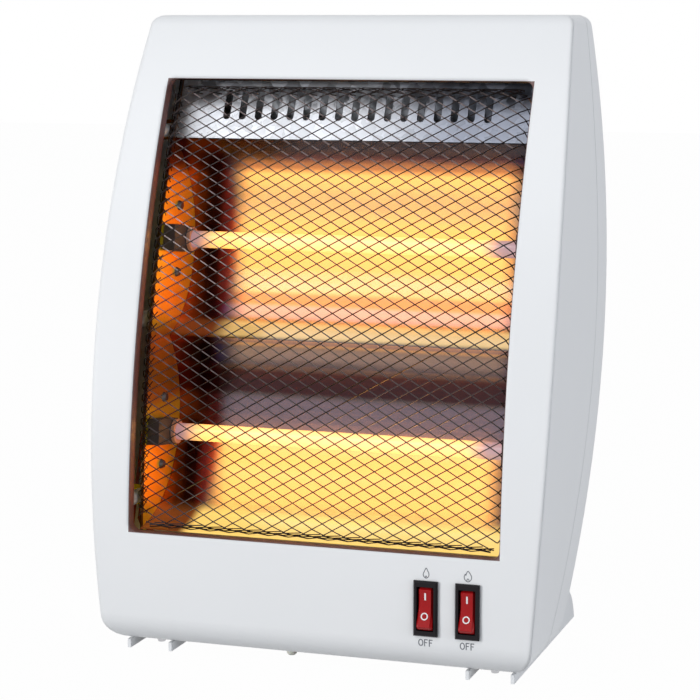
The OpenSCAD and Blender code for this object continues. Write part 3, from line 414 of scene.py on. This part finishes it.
def bandsOver(tree, colour, bands):
    # a colour passed through one painted band after another
    for kind, start, end, soft, tint in bands:
        band = addNode(tree, "Group")
        band.node_tree = stainBand
        for key, value in (("From", start), ("To", end), ("Soft", soft), ("Tint", tint)):
            band.inputs[key].default_value = value
        if isinstance(colour, tuple):
            band.inputs["Color"].default_value = colour
        else:
            wire(tree, (colour, band.inputs["Color"]))
        wire(tree, (measureNodes(tree, kind), band.inputs["Distance"]))
        colour = band.outputs["Color"]
    return colour


def addPaintedLightAndShade(mat, bands):
    tree = mat.node_tree
    base = tree.nodes["Principled BSDF"].inputs["Base Color"]
    wire(tree, (bandsOver(tree, base.links[0].from_socket, bands), base))


def addPaintedGlints(mat):
    tree = mat.node_tree
    body = tree.nodes["Principled BSDF"]
    both = addNode(tree, "Mix", {0: 1.0}, data_type="RGBA", blend_type="ADD")
    for socket, (colour, bands) in zip((mixFirst, mixSecond), paintedGlints):
        wire(tree, (bandsOver(tree, colour, bands), both.inputs[socket]))
    wire(tree, (both.outputs[mixOut], body.inputs["Emission Color"]))
    body.inputs["Emission Strength"].default_value = 1.0


# How round the housing's edges shade, by their depth behind the face: the crease round the
# face is rounded most, the edges behind it less and less
crease = {"from": 0.004, "to": 0.014, "round": 0.004, "sharp": 0.0004}


def softenCreases(mat):
    tree = mat.node_tree
    effect = next(n for n in tree.nodes if n.type == "GROUP" and n.node_tree == mouldGrain)
    size = addRange(tree, crease["from"], crease["to"], crease["round"], crease["sharp"])
    wire(tree, (measureNodes(tree, "front"), size.inputs[0]),
         (size.outputs[0], effect.inputs["Edge"]))


# Finishes: one for each material of the heater

finishes = {
    "housing": (mouldGrain, {
        "Color": (0.83, 0.838, 0.845, 1), "Roughness": 0.36, "Grain Scale": 1400.0,
        "Grain Depth": 0.12, "Drift": 0.03}, {"Specular IOR Level": 0.45}),
    "feet": (mouldGrain, {
        "Color": (0.82, 0.83, 0.84, 1), "Roughness": 0.42, "Grain Scale": 1400.0,
        "Grain Depth": 0.15, "Drift": 0.04}, {}),
    "wire": (rolledSheet, {
        "Color": (0.055, 0.045, 0.045, 1), "Roughness": 0.32, "Scratch": 0.1,
        "Wave Scale": 300.0, "Wave": 0.1}, {"Metallic": 1.0}),
    "reflector": (rolledSheet, {
        "Color": (0.250, 0.250, 0.255, 1), "Roughness": 0.18, "Scratch": 0.1,
        "Wave Scale": 40.0, "Wave": 0.12}, {"Metallic": 1.0}),
    # painted reflection: the end plates are bare metal, and their strong yellow stands in for the
    # glow of the tubes on them
    "end_plates": (rolledSheet, {
        "Color": (1.0, 0.84, 0.04, 1), "Roughness": 0.30, "Scratch": 0.1,
        "Wave Scale": 40.0, "Wave": 0.15}, {"Metallic": 0.8}),
    "galvanised": (spangle, {
        "Color": (0.55, 0.57, 0.61, 1), "Roughness": 0.45, "Crystal Scale": 170.0,
        "Contrast": 0.7}, {"Metallic": 1.0}),
    "ceramic": (mouldGrain, {
        "Color": (0.62, 0.60, 0.57, 1), "Roughness": 0.7, "Grain Scale": 2500.0,
        "Grain Depth": 0.4, "Drift": 0.12}, {}),
    "steel": (rolledSheet, {
        "Color": (0.52, 0.52, 0.54, 1), "Roughness": 0.34, "Scratch": 0.15,
        "Wave Scale": 200.0, "Wave": 0.15}, {"Metallic": 1.0}),
    # the bracket screws' steel, darker than the plain steel
    "sooted": (rolledSheet, {
        "Color": (0.13, 0.12, 0.12, 1), "Roughness": 0.45, "Scratch": 0.15,
        "Wave Scale": 200.0, "Wave": 0.15}, {"Metallic": 1.0}),
    "brass": (rolledSheet, {
        "Color": (0.66, 0.60, 0.42, 1), "Roughness": 0.32, "Scratch": 0.1,
        "Wave Scale": 200.0, "Wave": 0.1}, {"Metallic": 1.0}),
    "switch_body": (mouldGrain, {
        "Color": (0.012, 0.010, 0.012, 1), "Roughness": 0.3, "Grain Scale": 2200.0,
        "Grain Depth": 0.15, "Drift": 0.05}, {"Specular IOR Level": 0.14}),
    "rocker": (mouldGrain, {
        "Color": (0.36, 0.006, 0.008, 1), "Roughness": 0.2, "Grain Scale": 900.0,
        "Grain Depth": 0.03, "Drift": 0.05}, {"Specular IOR Level": 0.2}),
    "dark_plastic": (mouldGrain, {
        "Color": (0.03, 0.03, 0.033, 1), "Roughness": 0.5, "Grain Scale": 1600.0,
        "Grain Depth": 0.25, "Drift": 0.05}, {}),
    "plunger": (mouldGrain, {
        "Color": (0.76, 0.74, 0.66, 1), "Roughness": 0.45, "Grain Scale": 1600.0,
        "Grain Depth": 0.1, "Drift": 0.05}, {"Subsurface Weight": 0.1}),
    "block": (mouldGrain, {
        "Color": (0.80, 0.78, 0.70, 1), "Roughness": 0.45, "Grain Scale": 1600.0,
        "Grain Depth": 0.1, "Drift": 0.05}, {"Subsurface Weight": 0.1}),
    "wire_insulation": (mouldGrain, {
        "Color": (0.34, 0.05, 0.03, 1), "Roughness": 0.6, "Grain Scale": 2400.0,
        "Grain Depth": 0.5, "Drift": 0.1}, {"Sheen Weight": 0.2}),
}

# The glow, in metres along the tube. It dies away over the fade towards the caps. What the
# eye sees of so bright a tube is paler than the light that it casts.
glow = {"middle": -0.004, "half": 0.087, "fade": 0.008, "cast": (6.5, 2.9, 0.62, 1),
        "end": (0.20, 0.10, 0.12, 1), "tubeSeen": (0.70, 0.40, 0.05, 1), "tubeAlpha": 0.8,
        "coilSeen": (1.05, 0.64, 0.14, 1), "coilAlpha": 1.0, "base": (0.55, 0.46, 0.48, 1),
        "gloss": 0.15}


def glowFinish(name, seen, alpha):
    # emission that is bright over the lit stretch and dies away towards the caps
    mat = bpy.data.materials.new(name)
    mat.use_nodes = True
    tree = mat.node_tree
    body = tree.nodes["Principled BSDF"]
    co = addNode(tree, "TexCoord")
    split = addNode(tree, "SeparateXYZ")
    centred = addNode(tree, "Math", {1: glow["middle"]}, operation="SUBTRACT")
    away = addNode(tree, "Math", operation="ABSOLUTE")
    lit = addRange(tree, glow["half"] - glow["fade"], glow["half"] + glow["fade"], 1.0, 0.0,
                   interpolation_type="SMOOTHSTEP")
    path = addNode(tree, "LightPath")
    hot = addNode(tree, "Mix", {mixFirst: glow["cast"], mixSecond: seen}, data_type="RGBA")
    tint = addNode(tree, "Mix", {mixFirst: glow["end"]}, data_type="RGBA")
    wire(tree, (co.outputs["Object"], split.inputs[0]), (split.outputs[0], centred.inputs[0]),
         (centred.outputs[0], away.inputs[0]), (away.outputs[0], lit.inputs[0]),
         (path.outputs["Is Camera Ray"], hot.inputs[0]),
         (hot.outputs[mixOut], tint.inputs[mixSecond]), (lit.outputs[0], tint.inputs[0]),
         (tint.outputs[mixOut], body.inputs["Emission Color"]))
    for key, value in (("Emission Strength", 1.0), ("Base Color", glow["base"]),
                       ("Roughness", glow["gloss"]), ("Alpha", alpha)):
        body.inputs[key].default_value = value
    return mat


def dressModel():
    # The rear cover has the housing's finish without the painted shade in the window's reveal,
    # and the bracket screws get the darker steel
    made = {slot: effectFinish(slot, *recipe) for slot, recipe in finishes.items()}
    made["cover"] = effectFinish("cover", *finishes["housing"])
    for slot, bands in paintedLightAndShade.items():
        addPaintedLightAndShade(made[slot], bands)
    softenCreases(made["housing"])
    addPaintedGlints(made["reflector"])
    made["quartz"] = glowFinish("quartz", glow["tubeSeen"], glow["tubeAlpha"])
    made["coil"] = glowFinish("coil", glow["coilSeen"], glow["coilAlpha"])
    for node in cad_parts.values():
        for holder in node.material_slots:
            holder.material = made[holder.material.name.split(".")[0]]
    for node, finish in (("bracket_screws", "sooted"), ("rear_cover", "cover")):
        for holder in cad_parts[node].material_slots:
            holder.material = made[finish]
    return made


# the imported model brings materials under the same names, so those step aside first
for old in bpy.data.materials:
    old.name = old.name.split(".")[0] + ".packed"
made = dressModel()
print("finishes:", len(made))


# Rockers: a soft V of a face with bevelled flanks and a stepped lip at both ends, drawn flat
# and then tilted about the pin, whose place is (y, z). Depths count backwards, so whatever
# stands proud is below nought. The lip's steps are (place along the rocker, depth).

rocker = {"pin": (0.5, 42.2), "tilt": 10.0, "end": 10.3, "rows": 33, "face": 3.3, "foot": 4.5,
          "bevel": 1.9, "inside": 2.9, "middle": -2.1, "lean": 0.2266, "soft": 3.0,
          "lip": ((10.6, -3.6), (11.5, -2.6), (12.1, -0.9))}


def rockerFace(s):
    # a hyperbola: level in the middle, and leaning out at the ends
    bend = np.sqrt(s ** 2 + rocker["soft"] ** 2) - rocker["soft"]
    return rocker["middle"] - rocker["lean"] * bend


def tilted(x, y, s):
    a = math.radians(rocker["tilt"])
    return np.stack([x, y * math.cos(a) + s * math.sin(a) + rocker["pin"][0] + placeY,
                     -y * math.sin(a) + s * math.cos(a) + rocker["pin"][1]], 1)


def makeRocker(side, x):
    lip = np.array(rocker["lip"])
    middle = np.linspace(-rocker["end"], rocker["end"], rocker["rows"])
    s = np.concatenate([-lip[::-1, 0], middle, lip[:, 0]])
    y = rockerFace(s)
    y[:len(lip)], y[-len(lip):] = lip[::-1, 1], lip[:, 1]
    wide, narrow, deep = rocker["foot"], rocker["face"], rocker["inside"]
    rows = []
    for s0, y0 in zip(s, y):
        low = y0 + rocker["bevel"]
        ring = [(-wide, deep), (-wide, low), (-narrow, y0), (narrow, y0), (wide, low),
                (wide, deep)]
        rows.append([(a, b, s0) for a, b in ring])
    flat = np.array(rows).reshape(-1, 3)
    n = 6 * (len(s) - 1)
    faces = gridFaces(len(s), 6, False, True)
    faces += [[5, 4, 3, 2, 1, 0], [n + i for i in range(6)]]
    points = tilted(x + flat[:, 0], flat[:, 1], flat[:, 2]) / 1000
    obj = meshPiece(f"rocker_{side}_shaped", points, faces, smooth=False)
    obj.data.materials.append(made["rocker"])
    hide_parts(f"rocker_{side}")
    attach(obj, f"{side}_rocker")


# Feet: two thin runners joined by a web that starts well behind the front, so that the foot is
# open there, and closed round the tail by a rounded wall. "low" is the body's underside.
# "back" and "tail" are arcs, as (y, z, radius): the back's y is its rearmost point, the
# tail's is its middle. "steps" are the points on the heel, the back and the tail.

foot = {"outer": 117.0, "inner": 89.0, "rib": 2.0, "web": 2.2, "front": 11.2, "webFront": 30.0,
        "clear": 0.35, "low": 5.5, "back": (149.5, 245, 394), "heel": 20,
        "tail": (129.7, -7.6, 32.2), "top": 24.6, "shoulder": 1.5, "steps": (12, 6, 20)}


def arcPoints(cy, cz, r, turn):
    return np.stack([cy + r * np.cos(turn), cz + r * np.sin(turn)], 1)


def underBody(out):
    # the body's outline over the foot, moved out by so much: the level underside, the heel's
    # arc and then the large arc of the back, up to the foot's top
    cy, cz, r = foot["back"]
    cy -= r
    fz = foot["low"] + foot["heel"]
    fy = cy + math.sqrt((r - foot["heel"]) ** 2 - (fz - cz) ** 2)
    end = math.atan2(fz - cz, fy - cy)
    top = math.asin((foot["top"] - cz) / (r + out))
    heel = arcPoints(fy, fz, foot["heel"] + out, np.linspace(-math.pi / 2, end, foot["steps"][0]))
    back = arcPoints(cy, cz, r + out, np.linspace(end, top, foot["steps"][1])[1:])
    return np.vstack([heel, back])


def tailArc(inset):
    # from the foot's top, round the tail and down to the floor
    cy, cz, r = foot["tail"]
    r -= inset
    turn = np.linspace(math.pi / 2, math.asin(-cz / r), foot["steps"][2])
    return arcPoints(cy, cz, r, turn)


def slab(outline, x0, x1):
    # a closed (y, z) outline carried along x
    n = len(outline)
    rings = np.array([[(x, y, z) for y, z in outline] for x in (x0, x1)])
    faces = [[i, (i + 1) % n, n + (i + 1) % n, n + i] for i in range(n)]
    return rings.reshape(-1, 3), faces + [list(range(n))[::-1], [n + i for i in range(n)]]


def makeFoot(side, sign):
    over = underBody(foot["clear"])
    first = [(foot["front"], over[0, 1])]
    outline = np.vstack([first, over, tailArc(0), [(foot["front"], 0.0)]])[::-1]
    half = foot["web"] / 2
    inner = underBody(foot["clear"] + half)
    inner = inner[inner[:, 1] < foot["top"] - half]
    path = np.vstack([[(foot["webFront"], inner[0, 1])], inner,
                      [(inner[-1, 0] + foot["shoulder"], foot["top"] - half)], tailArc(half)])
    strip, faces = ribbon(path, foot["web"], foot["outer"] - foot["inner"] - 2 * foot["rib"])
    web = np.stack([foot["inner"] + foot["rib"] + strip[:, 2], strip[:, 0], strip[:, 1]], 1)
    parts = [slab(outline, foot["inner"], foot["inner"] + foot["rib"]),
             slab(outline, foot["outer"] - foot["rib"], foot["outer"]), (web, faces)]
    points, faces = joinParts(parts)
    points = points * [sign, 1, 1] + [0, placeY, 0]
    points[:, 2] = np.maximum(points[:, 2], 0)  # the wall's end stands flat on the floor
    if sign < 0:
        faces = [f[::-1] for f in faces]
    obj = meshPiece(f"foot_{side}_open", points / 1000, faces, smooth=False)
    obj.data.materials.append(made["feet"])
    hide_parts(f"foot_{side}")
    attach(obj, "heater")


for side, sign in (("left", -1), ("right", 1)):
    makeRocker(side, switches[side])
    makeFoot(side, sign)
print("rockers and feet done")


# Printed marks on the face and on the rockers. The word is an ellipse and two letters of
# three strokes; the rockers carry a bar and a ring, each at a place along the rocker.

marks = {"line": 0.42, "wordLine": 0.58, "lift": 0.06, "flameZ": 62.3, "wordZ": 22.4,
         "ovalX": -2.95, "oval": (1.2, 1.8), "letterX": (-0.75, 2.0),
         "barHalf": 2.0, "barWide": 0.95, "barAt": 6.6,
         "ring": (1.75, 1.75), "ringWide": 0.68, "ringAt": -4.4, "proud": 0.03,
         "ink": (0.17, 0.18, 0.20, 1), "white": (0.85, 0.85, 0.85, 1)}

strokes = (((0, -2.07), (0, 2.07)), ((0, 1.8), (1.85, 1.8)), ((0, 0.15), (1.5, 0.15)))

# (outline, arch) of the single and of the double flame, in mm
flames = {
    "left": ([(-0.4, -2.75), (-1.35, -1.9), (-1.65, -0.6), (-1.0, 1.0), (0.0, 2.8), (0.95, 1.2),
              (1.6, -0.3), (1.45, -1.8), (0.45, -2.75)],
             [(-0.5, -2.65), (-0.3, -2.0), (0.0, -1.6), (0.35, -2.0), (0.55, -2.65)]),
    "right": ([(-0.55, -2.9), (-1.75, -1.9), (-2.1, -0.3), (-1.55, 1.15), (-1.2, 0.6),
               (-0.75, 1.9), (0.05, 2.9), (1.2, 1.6), (2.0, 0.0), (1.85, -1.7), (0.6, -2.9)],
              [(-0.75, -2.75), (-0.45, -1.9), (0.0, -1.35), (0.5, -1.9), (0.8, -2.75)]),
}


def faceY(z):
    # the front face's place at a height, counted from its upright stretch
    r, toe = face["radius"], face["toeRadius"]
    upper = r - np.sqrt(r ** 2 - (z - face["level"]) ** 2)
    low = np.clip(face["toeTop"] - z, 0, face["toeDrop"])
    lower = face["toeIn"] + toe - np.sqrt(toe ** 2 - low ** 2)
    return np.where(z < face["toeTop"], lower, upper)


def smoothLoop(corners, closed=True):
    # a Catmull-Rom curve through the corners, six steps from each to the next
    c = np.asarray(corners, float)
    c = np.vstack([c[-1:], c, c[:2]]) if closed else np.vstack([c[:1], c, c[-1:]])
    t = np.linspace(0, 1, 7)[:-1, None]
    parts = [0.5 * (2 * b + (d - a) * t + (2 * a - 5 * b + 4 * d - e) * t ** 2
                    + (3 * b - a - 3 * d + e) * t ** 3)
             for a, b, d, e in zip(c, c[1:], c[2:], c[3:])]
    return np.vstack(parts if closed else parts + [c[-1:]])


def flameMark(side):
    # a plain drop of flame over a small arch; the double one is wider, with a second tip
    outline, arch = flames[side]
    return [ribbon(smoothLoop(outline), marks["line"], marks["lift"], True),
            ribbon(smoothLoop(arch, False), marks["line"], marks["lift"])]


def ellipse(wide, tall):
    t = np.linspace(0, 2 * math.pi, 25)[:-1]
    return np.stack([wide * np.sin(t), tall * np.cos(t)], 1)


def offWord():
    # three plain capitals drawn as strokes, 4 mm high
    ring = ellipse(*marks["oval"]) + [marks["ovalX"], 0]
    parts = [ribbon(ring, marks["wordLine"], marks["lift"], True)]
    steps = np.linspace(0, 1, 7)[:, None]
    for left in marks["letterX"]:
        for start, end in strokes:
            path = np.add(start, (left, 0)) * (1 - steps) + np.add(end, (left, 0)) * steps
            parts.append(ribbon(path, marks["wordLine"], marks["lift"]))
    return parts


def onFace(points, x, z):
    # (a, b, height) points of a mark, laid on the curved face round (x, z)
    out = np.empty_like(points)
    out[:, 0] = x + points[:, 0]
    out[:, 2] = z + points[:, 1]
    out[:, 1] = faceY(out[:, 2]) - points[:, 2] + placeY
    return out / 1000


def rockerLetters(x):
    # the bar and the ring, laid on the rocker's face
    half = marks["barHalf"]
    bar = np.stack([np.zeros(9), np.linspace(-half, half, 9)], 1)
    letters = []
    for path, width, closed, at in (
            (bar, marks["barWide"], False, marks["barAt"]),
            (ellipse(*marks["ring"]), marks["ringWide"], True, marks["ringAt"])):
        flat, faces = ribbon(path, width, marks["lift"], closed)
        along = at + flat[:, 1]
        depth = rockerFace(along) - flat[:, 2] - marks["proud"]
        letters.append((tilted(x + flat[:, 0], depth, along), faces))
    return joinParts(letters)


def inkFinish(name, colour):
    return effectFinish(name, mouldGrain, {
        "Color": colour, "Roughness": 0.45, "Grain Scale": 3000.0, "Grain Depth": 0.05,
        "Drift": 0.06})


def makeMarks():
    ink, white = inkFinish("print_grey", marks["ink"]), inkFinish("print_white", marks["white"])
    for side, x in switches.items():
        for what, parts, z in (("flame", flameMark(side), marks["flameZ"]),
                               ("off", offWord(), marks["wordZ"])):
            points, faces = joinParts(parts)
            obj = meshPiece(f"{what}_mark_{side}", onFace(points, x, z), faces, smooth=False)
            obj.data.materials.append(ink)
            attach(obj, "heater")
        points, faces = rockerLetters(x)
        obj = meshPiece(f"rocker_mark_{side}", points / 1000, faces, smooth=False)
        obj.data.materials.append(white)
        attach(obj, f"{side}_rocker")


makeMarks()
print("marks done")


# Floor and light. Each lamp has its place, its aim, its size, its watts and its colour.

studio = {"floor": (0.45, 0.46, 0.47, 1), "floorSide": 6.0, "floorWhite": 0.985,
          "world": (0.90, 0.94, 1.0, 1), "worldLevel": 0.42}

lamps = {
    "key": ((-1.9, -3.8, 3.7), (0, 0, 0.18), 2.4, 64.0, (1, 1, 1)),
    "low": ((-3.0, -3.1, 0.76), (0, 0, 0.15), 0.32, 86.0, (1, 1, 1)),
    "fill": ((1.9, -0.7, 0.35), (0, 0, 0.18), 1.4, 13.0, (0.9, 0.93, 1.0)),
}


def whiteForEye(tree, shade, white):
    # what the camera and mirrors see, beside what lights the object
    path = addNode(tree, "LightPath")
    first = addNode(tree, "Math", operation="MAXIMUM")
    second = addNode(tree, "Math", operation="MAXIMUM")
    mix = addNode(tree, "MixShader")
    wire(tree, (path.outputs["Is Camera Ray"], first.inputs[0]),
         (path.outputs["Is Glossy Ray"], first.inputs[1]),
         (first.outputs[0], second.inputs[0]),
         (path.outputs["Is Transmission Ray"], second.inputs[1]),
         (second.outputs[0], mix.inputs[0]), (shade, mix.inputs[1]), (white, mix.inputs[2]))
    return mix.outputs[0]


def makeFloor():
    # almost white to the camera, with a trace of the matt floor and so of the shadow on it
    side = studio["floorSide"]
    corners = [(-side, -side, 0), (side, -side, 0), (side, side, 0), (-side, side, 0)]
    obj = meshPiece("floor", corners, [[0, 1, 2, 3]], smooth=False)
    mat = bpy.data.materials.new("floor")
    mat.use_nodes = True
    tree = mat.node_tree
    tree.nodes.remove(tree.nodes["Principled BSDF"])
    out = tree.nodes["Material Output"]
    matt = addNode(tree, "BsdfDiffuse", {"Color": studio["floor"]})
    white = addNode(tree, "Emission", {"Strength": 1.0})
    eye = addNode(tree, "MixShader", {0: studio["floorWhite"]})
    wire(tree, (matt.outputs[0], eye.inputs[1]), (white.outputs[0], eye.inputs[2]))
    wire(tree, (whiteForEye(tree, matt.outputs[0], eye.outputs[0]), out.inputs["Surface"]))
    obj.data.materials.append(mat)


def makeWorld():
    world = bpy.data.worlds.new("studio")
    bpy.context.scene.world = world
    world.use_nodes = True
    tree = world.node_tree
    soft = tree.nodes["Background"]
    soft.inputs["Color"].default_value = studio["world"]
    soft.inputs["Strength"].default_value = studio["worldLevel"]
    white = addNode(tree, "Background", {"Color": (1, 1, 1, 1), "Strength": 1.0})
    wire(tree, (whiteForEye(tree, soft.outputs[0], white.outputs[0]),
                tree.nodes["World Output"].inputs["Surface"]))


def makeLamp(name, place, aim, size, watts, colour):
    data = bpy.data.lights.new(name, "AREA")
    data.shape = "DISK"
    data.size = size
    data.energy = watts
    data.color = colour
    lamp = bpy.data.objects.new(name, data)
    bpy.context.scene.collection.objects.link(lamp)
    lamp.location = place
    aimAt(lamp, aim)


makeFloor()
makeWorld()
for name, values in lamps.items():
    makeLamp(name, *values)
bpy.context.scene.view_settings.view_transform = "Standard"
print("stage done")
